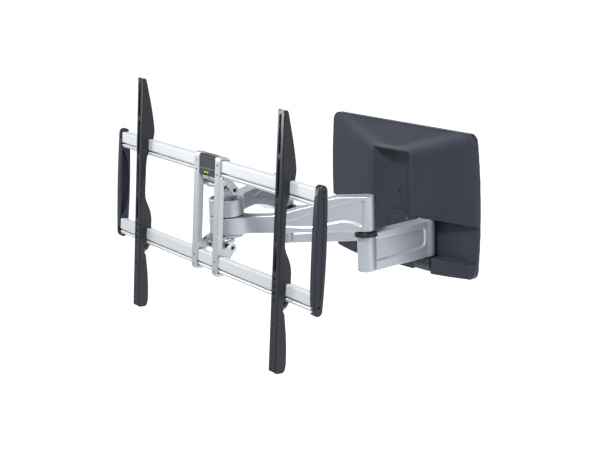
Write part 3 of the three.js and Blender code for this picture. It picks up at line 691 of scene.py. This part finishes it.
def upper_link(near):
    """near is the arm whose hub barrel is the lower of the two."""
    end, half = L_UPPER - 30, 16.2
    bar = outline([(0, -half), (end, -half), (end, half), (0, half)])
    elbow_disc, hub_disc = disc(0, 0, ELBOW_R), disc(L_UPPER, 0, HUB_R)

    def plan(x, y):
        return smooth_min(smooth_min(bar(x, y), elbow_disc(x, y), 2.0), hub_disc(x, y), 26.0)

    if near:
        top = curve([(-40, 42), (20, 42), (48, 41.6), (66, 39.6), (82, 35), (98, 28.6), (116, 22.8),
                     (140, 17.6), (160, 11.8), (180, 6.6), (200, 3.6), (230, 3.2), (350, 3.2)])
        side = outline(top + [(350, UPPER_Z[0]), (-40, UPPER_Z[0])])
        above = curve([(3.8, 32.6), (15.5, 30.6), (41.6, 26.6), (73, 18.6), (104, 9.8), (133, -0.8),
                       (157, -7.6), (184, -13)], 4)
        below = curve([(190, -15.5), (157, -20.6), (107, -21.4), (74, -14.6), (48, -10.4), (27, -13),
                       (11, -20)], 4)
        panel = [(3.6, 33.6)] + above + below + [(8.6, -20.2), (5.6, -10)]
        hub_bores = [rod("z", L_UPPER, 0, 8.4, -40, 50, 0.2)]
    else:
        bottom = curve([(-40, -34), (20, -34), (48, -33.6), (66, -31.4), (82, -26.6), (98, -19.4),
                        (120, -11), (145, -4), (170, 2), (190, 4.8), (210, 5.2), (350, 5.2)])
        side = outline(bottom[::-1] + [(-40, UPPER_Z[1]), (350, UPPER_Z[1])])
        below = curve([(4, -24), (15.5, -22), (42, -18), (73, -10), (104, -1), (133, 8.8), (157, 14.6),
                       (184, 20)], 4)
        above = curve([(190, 23), (157, 28.6), (107, 29.4), (74, 23), (48, 18.6), (27, 21), (11, 28)], 4)
        panel = [(3.6, -25)] + below + above + [(8.6, 28.2), (5.6, 18)]
        hub_bores = [rod("z", L_UPPER, 0, 19.6, 0, 60, 0.4), rod("z", L_UPPER, 0, 32.2, 36, 60, 1.0)]
    link = meet(slab(plan, "z", *UPPER_Z, 1.8), lambda x, y, z: side(x, z), k=2.6)
    link = cut(link, two_sided(outline(panel), 16.2, 2.8), k=3.6)
    return cut(link, rod("z", 0, 0, 6.4, -60, 37, 0.2), *hub_bores, k=1.0)


def arm_pieces():
    for side, s in SIDES:
        lower, upper = side + "_lower", side + "_upper"
        cast(side + "_forearm", lower_link(), (-19, -19, -122), (203, 19, -39), 1.4, lower, lower,
             "cast_silver", [side + "_lower_link"])
        ring = [(6.3, -45), (RING_R, -45), (RING_R, -41.6), (22.9, -41.2), (22.9, -40.4), (23.7, -40),
                (23.7, -36.6), (16.8, -36.6), (16.8, -34.3), (6.3, -34.3)]
        plain(side + "_elbow_bearing", turned(ring, "z", L_LOWER, 0, 72, 0.4), lower, lower, "black_nylon",
              [side + "_elbow_ring"])
        plain(side + "_elbow_shaft", turned([(0, -114), (6, -114), (6, 36), (0, 36)], "z", L_LOWER, 0, 40),
              lower, lower, "hidden_steel", [side + "_elbow_pin"])
        cast(side + "_boom", upper_link(s > 0), (-19, -37, -35), (329, 37, 43), 1.4, upper, upper,
             "cast_silver", [side + "_upper_link"])
    seam = [(8.4, 3.5), (HUB_R - 1.5, 3.5), (HUB_R - 1.5, 4.9), (8.4, 4.9)]
    plain("hub_seam_ring", turned(seam, "z", L_UPPER, 0, 96, 0.3), "right_upper", "right_upper",
          "black_nylon", ["hub_seam_washer"])


# ---------------------------------------------------------------- hub and tilt head
def spindle_and_neck():
    """On top of the hub: a web that carries the barrel for the upper tilt pin."""
    sleeve = [(5.5, -33.4), (29.2, -33.4), (29.2, -31.4), (8, -31.4), (8, 36.3), (21, 36.3), (21, 38),
              (5.5, 38)]
    plain("hub_spindle_turned", turned(sleeve, "z", 0, 0, 72, 0.4), "hub", "spindle", "hidden_steel",
          ["hub_spindle"])
    ty, tz = in_hub(*TILT_AXIS)
    base = rod("z", 0, 0, 20, 38.4, 43, 1.0)
    side = [(-19, 40), (18, 40), (17, 45), (ty + 9, tz - 5), (ty + 7, tz), (ty - 7, tz), (ty - 9, tz - 6),
            (-19, 47)]
    stem = slab(outline(soften(side, 2.0)), "x", -15, 15, 1.0)
    stem = meet(stem, rod("z", 0, 0, 21.5, 30, 90, 0.5), k=2.0)
    barrel = join(rod("x", ty, tz, 7.6, -27, 27, 1.6), rod("x", ty, tz, 5.6, -47.5, 47.5, 0.8), k=1.0)
    wings = [plane(s * 26, 0, 24, (s * 20, 0, 42)) for s in (1, -1)]
    web = meet(block(-46, 46, ty - 2.4, ty + 2.4, 40, tz, 0.8), *wings, k=2.0)
    neck = join(base, stem, web, barrel, k=4.0)
    neck = cut(neck, rod("x", ty, tz, 4.0, -60, 60, 0.2), rod("z", 0, 0, 5.1, 20, 46, 0.2), k=0.5)
    cast("tilt_neck", neck, (-48, -22, 37), (48, 22, 76), 1.0, "hub", "head", "silver_paint", ["head_neck"])
    plain("tilt_bolt", turned([(0, -47), (4.9, -47), (4.9, 45.6), (0, 45.6)], "z", 0, 0, 40), "hub", "head",
          "hidden_steel", ["head_core"])


def yoke():
    """Below the hub: two cheeks with the lower pin's arc slot, an eye in each, and a bar between."""
    (ty, tz), (py, pz) = in_hub(*TILT_AXIS), in_hub(*LOWER_PIN)
    reach, pin_at = math.hypot(py - ty, pz - tz), math.degrees(math.atan2(pz - tz, py - ty))

    def swing(radius, a0, a1, n=10):
        angles = [math.radians(a0 + (a1 - a0) * i / n) for i in range(n + 1)]
        return [(ty + radius * math.cos(a), tz + radius * math.sin(a)) for a in angles]

    first, last = pin_at - 2.2, pin_at + 17
    slot = outline(soften(swing(reach + 4.3, first, last) + swing(reach - 4.3, last, first), 3.6))
    cheek = outline(soften([(-32, -36), (-4, -35), (2.6, -39), (3.6, -44), (1.6, -49.5), (-3, -52.4),
                            (-12, -61.6), (-22, -66.5), (-31, -65.5), (-37, -60), (-37, -46)], 5))
    rim = outline(soften([(-22, -48.8), (-26, -44), (-22, -38.8), (-5, -35.6), (0.2, -40), (-2.6, -47)], 3))
    eye = outline(soften([(-21, -46.2), (-23, -44), (-21, -41.2), (-5.5, -38.4), (-2.6, -41), (-4.6, -44.4)],
                         1.6))
    shape = rod("z", 0, 0, 33.5, -41, -34.6, 1.0)
    for s in (1, -1):
        lo, hi = sorted((s * 24, s * 29.2))
        shape = join(shape, slab(cheek, "x", lo, hi, 1.2), k=2.0)
        lo, hi = sorted((s * 26, s * 30))
        shape = join(shape, slab(rim, "x", lo, hi, 0.9), k=0.6)
    shape = join(shape, rod("x", *TIE_BAR, -24.5, 24.5, 1.2), k=0.8)
    for s in (1, -1):
        lo, hi = sorted((s * 20, s * 40))
        shape = cut(shape, slab(slot, "x", lo, hi, 0.2), slab(eye, "x", lo, hi, 0.2), k=0.5)
    shape = cut(shape, rod("z", 0, 0, 5.1, -60, -20, 0.2))
    cast("slotted_yoke", shape, (-34, -34, -67), (34, 34, -34), 1.0, "hub", "head", "silver_paint",
         ["head_yoke"])


def hub_pieces():
    spindle_and_neck()
    yoke()
    low, high = -48.4, -41.3
    nut = meet(slab(hexagon(0, 0, 10), "z", low, high, 0.4),
               lambda x, y, z: (np.hypot(x, y) - 8.9 - (z - low) * 1.6) * 0.5,
               lambda x, y, z: (np.hypot(x, y) - 8.9 + (z - high) * 1.6) * 0.5, k=0.4)
    cast("hub_lock_nut", nut, (-11, -11, -49), (11, 11, -41), 0.6, "hub", "head", "zinc_screws", ["head_nut"])


# ---------------------------------------------------------------- television frame
def rail_profile(top):
    """Seen from the end: flat face, groove, rounded lower band and two returned lips behind."""
    h, d = RAIL_H, RAIL_DEPTH
    face = [(2.6, 0), (0.3, 1.2), (0, 4), (0, 22.4), (0.5, 23.9)]
    groove = [(7, 24.2), (7, 27.2), (1.4, 27.6), (0.2, 29.6), (1.4, 33)]
    low_lip = [(4.0, h), (15.5, h), (d, h - 2), (d, h - 8), (15.6, h - 8), (15.6, h - 2.6), (6.2, h - 2.6)]
    inside = [(6.2, 29.2), (8.6, 29.2), (8.6, 22.4), (5.2, 22.4), (5.2, 2.6)]
    high_lip = [(15.6, 2.6), (15.6, 8), (d, 8), (d, 2), (15.5, 0)]
    down = face + groove + low_lip + inside + high_lip
    return [(y, top - v) for y, v in down]


def cap_lens():
    """A bowed capsule, seen from the end of the rails."""
    high, end = 126.0, 11.0

    def bulge(z):
        return 1 - (z / high) ** 2

    def back(z):
        return 18.2 + 4.3 * bulge(z)

    def front(z):
        return -0.7 - 2.3 * bulge(z)

    low = high - end
    mid, half = (back(low) + front(low)) / 2, (back(low) - front(low)) / 2
    levels = [-low + 2 * low * i / 16 for i in range(17)]
    turns = [math.pi * i / 12 for i in range(1, 12)]
    over = [(mid + half * math.cos(a), low + end * math.sin(a)) for a in turns]
    under = [(mid - half * math.cos(a), -low - end * math.sin(a)) for a in turns]
    return [(back(z), z) for z in levels] + over + [(front(z), z) for z in reversed(levels)] + under


def cap_piece(side, s):
    """A moulded cap over the ends of both rails, with a long groove outside and a hollow inside."""
    inner, outer = RAIL_LEN / 2 + 0.3, RAIL_LEN / 2 + 17.3
    lens = slab(outline(cap_lens()), "x", inner - 8, outer, 3.6)
    cap = meet(lens, plane(-1, 0, 0, (inner, 0, 0)), k=0.8)
    bow = curve([(4, -78), (14, -55), (18.6, -20), (18.6, 20), (14, 55), (4, 78)], 4)
    hollow = slab(outline([(1.5, -76)] + bow + [(1.5, 76)]), "x", inner - 8, outer - 4.4, 2.0)
    sockets = [block(inner - 4, outer - 8, -0.6, RAIL_DEPTH + 0.6, top - RAIL_H - 0.4, top + 0.4, 0.4)
               for top in RAIL_TOPS.values()]
    cap = cut(cap, hollow, *sockets, k=1.6)
    groove = slab(pill(10, 0, 190, 5.5), "x", outer - 1.7, outer + 4, 0.4)
    low_hole = rod("x", 9.5, -108, 2.6, outer - 4.5, outer + 4, 0.3)
    seats = [rod("x", 9.5, z, 3.2, outer - 1.5, outer + 4, 0.3) for z in CAP_SCREWS]
    cap = cut(cap, groove, low_hole, *seats, k=0.9)
    span = sorted((s * (inner - 1), s * (outer + 1)))
    cast(f"rail_cap_{side}", mirrored(cap, s), (span[0], -5, -128), (span[1], 24, 128), 1.15, "tv",
         "tv_frame", "trim", [f"end_cap_{side}"])
    for i, z in enumerate(CAP_SCREWS):
        w0, w1 = sorted((s * (outer - 1.2), s * outer))
        cross_head(f"cap_fixing_{side}_{i + 1}", "x", 9.5, z, 2.6, w0, w1, s, [f"cap_screw_{side}_{i + 1}"])


def both_ways(half_profile):
    """A turned piece's (radius, distance from the middle) points, repeated on the other side."""
    return [(r, -w) for r, w in half_profile] + [(r, w) for r, w in half_profile[::-1]]


def frame_pieces():
    for name, top in RAIL_TOPS.items():
        bar = extruded(soften(rail_profile(top), 0.8), "x", -RAIL_LEN / 2, RAIL_LEN / 2)
        plain(name.replace("rail", "extrusion"), bar, "tv", "tv_frame", "anodised_rail", [name])
    for side, s in SIDES:
        cap_piece(side, s)
        strut_piece(side, s)
    plain("cross_spacer", turned([(4, -44.5), (5.8, -44.5), (5.8, 44.5), (4, 44.5)], "x", 15, 60, 48, 0.4),
          "tv", "tv_frame", "silver_paint", ["cross_tube"])
    plain("tilt_axle", turned([(0, -51), (3.6, -51), (3.6, 51), (0, 51)], "x", *TILT_AXIS, 32), "tv",
          "tv_frame", "hidden_steel", ["tilt_pin"], HOLE_SHADE_ZINC)
    steps = both_ways([(0, 51), (3.6, 51), (3.6, 48.8), (5.6, 48.8), (5.6, 32), (3.6, 32), (3.6, 22.5),
                       (5.6, 22.5)])
    plain("slot_axle", turned(steps, "x", *LOWER_PIN, 48, 0.4), "tv", "tv_frame", "zinc_screws",
          ["lower_tilt_pin"], HOLE_SHADE_ZINC)
    level_block()


def cross_head(name, axis, u, v, radius, lo, hi, towards, nodes):
    """A small pan-head screw with a cross recess in the face that looks towards +axis or -axis."""
    face = hi if towards > 0 else lo
    iu, iv, iw = AXES[axis]

    def recess(*p):
        a, b = np.abs(p[iu] - u), np.abs(p[iv] - v)
        arms = np.minimum(np.maximum(a - 0.16 * radius, b - 0.62 * radius),
                          np.maximum(b - 0.16 * radius, a - 0.62 * radius))
        return np.maximum(arms, np.abs(p[iw] - face) - 0.45 * (hi - lo))
    low, high = along(axis, u - radius, v - radius, lo), along(axis, u + radius, v + radius, hi)
    screw = cut(rod(axis, u, v, radius, lo, hi, 0.35), recess)
    # The screw takes the near-black zinc, whose dark colour paints the shade of its hole.
    cast(name, screw, low, high, 0.3, "tv", "tv_frame", "zinc_screws", nodes, HOLE_SHADE_ZINC)


def around(cu, cv, radius, degrees):
    angles = [math.radians(a) for a in degrees]
    return [(cu + radius * math.cos(a), cv + radius * math.sin(a)) for a in angles]


def strut_piece(side, s):
    """A strap down the front of both rails, hooked over them, with an ear for each tilt pin."""
    low_hook = [(STRAP_FRONT, -117), (-3.4, -123), (1, -STRAP_END), (7, -126.4), (14, -124.8), (18.6, -122),
                (STRAP_BACK, -118), (STRAP_BACK, -112), (18.4, -112), (18.4, -118.7), (-0.3, -118.7),
                (-0.3, -82.4), (9, -76)]
    strap = soften(low_hook + [(y, -z) for y, z in reversed(low_hook)], 2.2)
    body = slab(outline(strap), "x", STRUT_IN, STRUT_OUT, 3.0)
    mid = (STRUT_IN + STRUT_OUT) / 2
    half = (STRUT_OUT - STRUT_IN) / 2

    def front(x, y, z):
        a, b = np.abs(x - mid) - half + 7.5, np.abs(z) - STRAP_END + 7.5
        return np.hypot(np.maximum(a, 0), np.maximum(b, 0)) + np.minimum(np.maximum(a, b), 0) - 7.5

    body = meet(body, front, k=1.5)
    ty, tz = TILT_AXIS
    back = soften([(5, 79), (9, 85), (14, 80.5), (21, 77), (31, 73.8)], 1.5)[1:-1]
    under = curve([(20.7, 59.8), (16, 64), (11.5, 67.6), (8, 66.5), (5, 62)], 3)
    upper = outline(back + around(ty, tz, 9.6, range(60, -126, -15)) + under)
    py, pz = LOWER_PIN
    lower = outline([(5, -82.3), (18.7, -82.3), (18.7, -94), (26, -90)]
                    + around(py, pz, 9.2, range(-50, 121, 17)) + [(18, -66), (9, -67), (5, -70)])
    ears = [slab(e, "x", STRUT_OUT - 6, STRUT_OUT, 1.4) for e in (upper, lower)]
    bridge = block(0.2, STRUT_IN + 3, 2, 8, 70.5, 78.5, 1.4)
    strut = join(body, *ears, k=2.5)
    strut = join(strut, bridge, k=1.5)
    seats = [block(STRUT_IN - 5, STRUT_OUT + 5, -0.3, 18.5, top - RAIL_H - 0.3, top + 0.3, 0.5)
             for top in RAIL_TOPS.values()]
    bores = [rod("x", ty, tz, 4.0, 40, 60, 0.3), rod("x", py, pz, 4.0, 40, 60, 0.3),
             rod("x", 15, 60, 6.1, STRUT_IN - 2, STRUT_IN + 12, 0.3)]
    bores += [rod("y", mid, z, 2.5, -9, -2.7, 0.2) for z in STRUT_SCREWS]
    strut = cut(strut, *seats, *bores, k=0.6)
    span = sorted((s * (STRUT_IN - 1), s * (STRUT_OUT + 1)))
    cast(f"strut_casting_{side}", mirrored(strut, s), (min(span[0], 0), -6, -128), (max(span[1], 0), 44, 128),
         1.15, "tv", "tv_frame", "silver_paint", [f"strut_{side}"])
    for i, z in enumerate(STRUT_SCREWS):
        cross_head(f"strut_fixing_{side}_{i + 1}", "y", s * mid, z, 2.2, -4.0, -2.75, -1,
                   [f"strut_screw_{side}_{i + 1}"])


def level_block():
    """The block over the top rail between the struts, with a vial in a window."""
    side = soften([(-4.2, 80), (-0.3, 80), (-0.3, 118.7), (18.2, 118.7), (18.2, 112), (20.6, 112),
                   (20.6, 121), (18, 123.4), (-1, 123.4), (-4.2, 121)], 1.6)
    body = slab(outline(side), "x", -STRUT_IN + 0.4, STRUT_IN - 0.4, 1.0)
    window = block(-10.8, 6.8, -9, -1.2, 83.2, 90, 1.6)
    body = cut(body, window, k=0.8)
    body = cut(body, block(-30.4, 30.4, -9, -3.7, 94.5, 117, 1.2), k=0.6)
    cast("level_housing", body, (-34, -6, 79), (34, 22, 125), 1.1, "tv", "tv_frame", "trim", ["centre_block"])
    cx, cy, cz = LEVEL_AT

    def vial(x, y, z):
        return np.maximum(np.hypot(y - cy, z - cz) - 2.3, np.abs(x - cx) - 7.8)

    tube = meet(vial, plane(0, 1, 0, (0, -1.9, 0)), k=0.6)
    gap = block(cx - 2.3, cx + 2.3, -9, 0, 80, 95, 0.2)
    cast("level_vial_tube", cut(tube, gap, k=0.3), (-11, -6, 83), (7, -1, 91), 0.35, "tv", "tv_frame",
         "vial_green", ["level_vial"])


# ---------------------------------------------------------------- television brackets
def bracket_side():
    """Seen from the side: front edge on the left, wings towards the wall above each rail."""
    d, top, foot = BRACKET_D, BRACKET_TOP, BRACKET_FOOT
    tail = [(-d, foot + 3), (-d + 3, foot), (-1, foot), (4, foot + 4), (6.5, foot + 16), (6.2, -215),
            (4, -184), (-1.2, -143), (-4.5, -137), (-6, -130), (-5.6, -119)]
    low_rail = [(-0.4, -119), (-0.4, -82.2), (10.6, -82.2)]
    low_wing = curve([(10.8, -66), (9.4, -52), (6.2, -40), (1.0, -28), (-4.2, -16), (-6.2, 0), (-6, 30),
                      (-5.6, 60)], 4)
    high_rail = [(-3.4, 80), (-0.4, 88), (-0.4, 119)]
    high_wing = curve([(11, 119.2), (13, 134), (11.8, 152), (5, 190), (-3, 225), (-9.4, top - 3)], 4)
    tip = [(-12, top), (-d + 1, top), (-d, top - 2)]
    return outline(tail + low_rail + low_wing + high_rail + high_wing + tip)


SLOTS = ((207.6, 77), (121.6, 77.8), (35.8, 78.5), (-35.2, 49.6))
BIG_HOLES = (-73.2, -88.4, -102.5, -116.8, -132.1, -162.5)
SMALL_HOLES = (-178.7, -194.3, -209.6, -225.2, -239.8, -252.6)
LATCH_AT = (-3.0, -131.0)           # depth and height of the latch pivot


def bracket_pieces():
    profile = bracket_side()
    for side, s in SIDES:
        mid = s * BRACKET_PITCH / 2 + BRACKET_SHIFT
        x0, x1 = mid - BRACKET_W / 2, mid + BRACKET_W / 2
        at = mid - 2.2
        inside = block(x0 + 2, x1 - 2, -BRACKET_D + 2, 70, -320, 320, 1.2)
        channel = cut(block(x0, x1, -BRACKET_D, 60, -300, 300, 2.6), inside)
        body = meet(channel, lambda x, y, z: profile(y, z), k=0.5)
        holes = [slab(pill(at, z, length, 8), "y", -30, -10, 0.1) for z, length in SLOTS]
        holes += [rod("y", at, z, 3.0, -30, -10, 0.1) for z in BIG_HOLES]
        holes += [rod("y", at, z, 2.2, -30, -10, 0.1) for z in SMALL_HOLES]
        holes.append(rod("x", *LATCH_AT, 2.2, x0 - 5, x1 + 5, 0.1))
        holes.append(rod("x", -5, -163, 1.6, x0 - 5, x0 + 1.0, 0.1))
        holes.append(rod("x", -5, -163, 1.6, x1 - 1.0, x1 + 5, 0.1))
        bracket, lever_body = f"bracket_{side[0]}", f"latch_{side[0]}"
        cast(f"tv_bracket_{side}", cut(body, *holes, k=0.4), (x0 - 1, -20, -263), (x1 + 1, 15, 256), 1.25,
             "tv", bracket, "bracket_black", [f"bracket_{side}"])
        y, z = LATCH_AT
        lever = outline(soften([(y - 3.6, z - 3), (y + 1, z - 5), (y + 5, z - 2), (9.5, -122.2),
                                (8.6, -119.4), (4, -119.2), (y - 1, z + 5), (y - 3.6, z + 3)], 1.6))
        latch = cut(slab(lever, "x", x0 + 2.6, x1 - 2.6, 1.0), rod("x", y, z, 2.3, x0, x1, 0.1))
        cast(f"latch_lever_{side}", latch, (x0 + 2, -8, -138), (x1 - 2, 11, -117), 0.8, "tv", lever_body,
             "black_nylon", [f"latch_{side}"])
        rivet = [(0, x0 + 0.1), (1.9, x0 + 0.1), (1.9, x1 - 0.1), (0, x1 - 0.1)]
        plain(f"latch_rivet_{side}", turned(rivet, "x", y, z, 28, 0.3), "tv", bracket, "zinc_screws",
              [f"latch_pin_{side}"])


# ---------------------------------------------------------------- studio
def camera():
    """At the photograph's viewing angle."""
    azimuth, down, roll = [math.radians(a) for a in CAMERA_TURN]
    flat = np.array([-math.sin(azimuth), math.cos(azimuth), 0])
    ahead = flat * math.cos(down) - np.array([0, 0, math.sin(down)])
    level = np.array([math.cos(azimuth), math.sin(azimuth), 0])
    up0 = np.cross(level, ahead)
    right = math.cos(roll) * level + math.sin(roll) * up0
    up = -math.sin(roll) * level + math.cos(roll) * up0
    data = bpy.data.cameras.new("camera")
    data.sensor_width = 36.0
    data.lens = CAMERA_LENS
    data.clip_start, data.clip_end = 0.05, 200
    cam = bpy.data.objects.new("camera", data)
    bpy.context.scene.collection.objects.link(cam)
    m = Matrix.Identity(4)
    for i in range(3):
        m[i][0], m[i][1], m[i][2] = right[i], up[i], -ahead[i]
        m[i][3] = CAMERA_AT[i]
    cam.matrix_world = m
    bpy.context.scene.camera = cam


def softbox(name, at, look, size, watts):
    """A white rectangle of light. Places are in metres."""
    data = bpy.data.lights.new(name, "AREA")
    data.shape, data.size, data.size_y = "RECTANGLE", size[0], size[1]
    data.energy = watts
    lamp = bpy.data.objects.new(name, data)
    bpy.context.scene.collection.objects.link(lamp)
    lamp.location = at
    lamp.rotation_euler = (Vector(look) - Vector(at)).to_track_quat("-Z", "Y").to_euler()


def sky():
    """Dim all round, with a bright band low down on the wall side."""
    world = bpy.data.worlds.new("studio")
    bpy.context.scene.world = world
    world.use_nodes = True
    tree = world.node_tree
    background = tree.nodes["Background"]
    background.inputs["Color"].default_value = (0.95, 0.97, 1.0, 1)
    towards = tree.nodes.new("ShaderNodeSeparateXYZ")
    wire(tree, tree.nodes.new("ShaderNodeTexCoord").outputs["Generated"], towards.inputs[0])
    glow = tree.nodes.new("ShaderNodeMath")
    glow.operation = "MULTIPLY"
    wire(tree, fit_range(tree, towards.outputs["Y"], 0.0, 1.0, -0.1, 0.5), glow.inputs[0])
    wire(tree, fit_range(tree, towards.outputs["Z"], 1.0, 0.0, 0.2, 0.6), glow.inputs[1])
    wire(tree, fit_range(tree, glow.outputs[0], 0.10, 0.85, 0.0, 1.0), background.inputs["Strength"])


def pale_floor():
    """Bright towards the wall side, and less so under the television, which darkens the reflections."""
    corners = [(sx * FLOOR_HALF, sy * FLOOR_HALF, FLOOR_Z) for sx, sy in ((-1, -1), (1, -1), (1, 1), (-1, 1))]
    mesh = bpy.data.meshes.new("floor")
    mesh.from_pydata(corners, [], [[0, 1, 2, 3]])
    floor = bpy.data.objects.new("floor", mesh)
    bpy.context.scene.collection.objects.link(floor)
    mat = bpy.data.materials.new("pale_floor")
    mat.use_nodes = True
    tree = mat.node_tree
    bsdf = tree.nodes["Principled BSDF"]
    bsdf.inputs["Base Color"].default_value = (0.85, 0.85, 0.85, 1)
    bsdf.inputs["Roughness"].default_value = 0.9
    bsdf.inputs["Emission Color"].default_value = (1, 1, 1, 1)
    place = tree.nodes.new("ShaderNodeSeparateXYZ")
    wire(tree, tree.nodes.new("ShaderNodeTexCoord").outputs["Object"], place.inputs[0])
    wire(tree, fit_range(tree, place.outputs["Y"], 0.28, 1.0, -0.8, 0.45), bsdf.inputs["Emission Strength"])
    mesh.materials.append(mat)


def studio():
    sky()
    pale_floor()
    softbox("key", (0.9, -2.1, 3.1), (0, -0.25, 0), (0.6, 0.6), 195)
    softbox("left_card", (-1.56, -1.41, 0.55), (0.23, -0.51, 0.2), (0.36, 1.0), 13)
    softbox("right_fill", (3.1, -1.9, 1.5), (0, -0.3, 0), (1.2, 1.4), 44)
    view = bpy.context.scene.view_settings
    view.view_transform, view.look = "Standard", "None"


camera()
wall_pieces()
arm_pieces()
hub_pieces()
frame_pieces()
bracket_pieces()
studio()
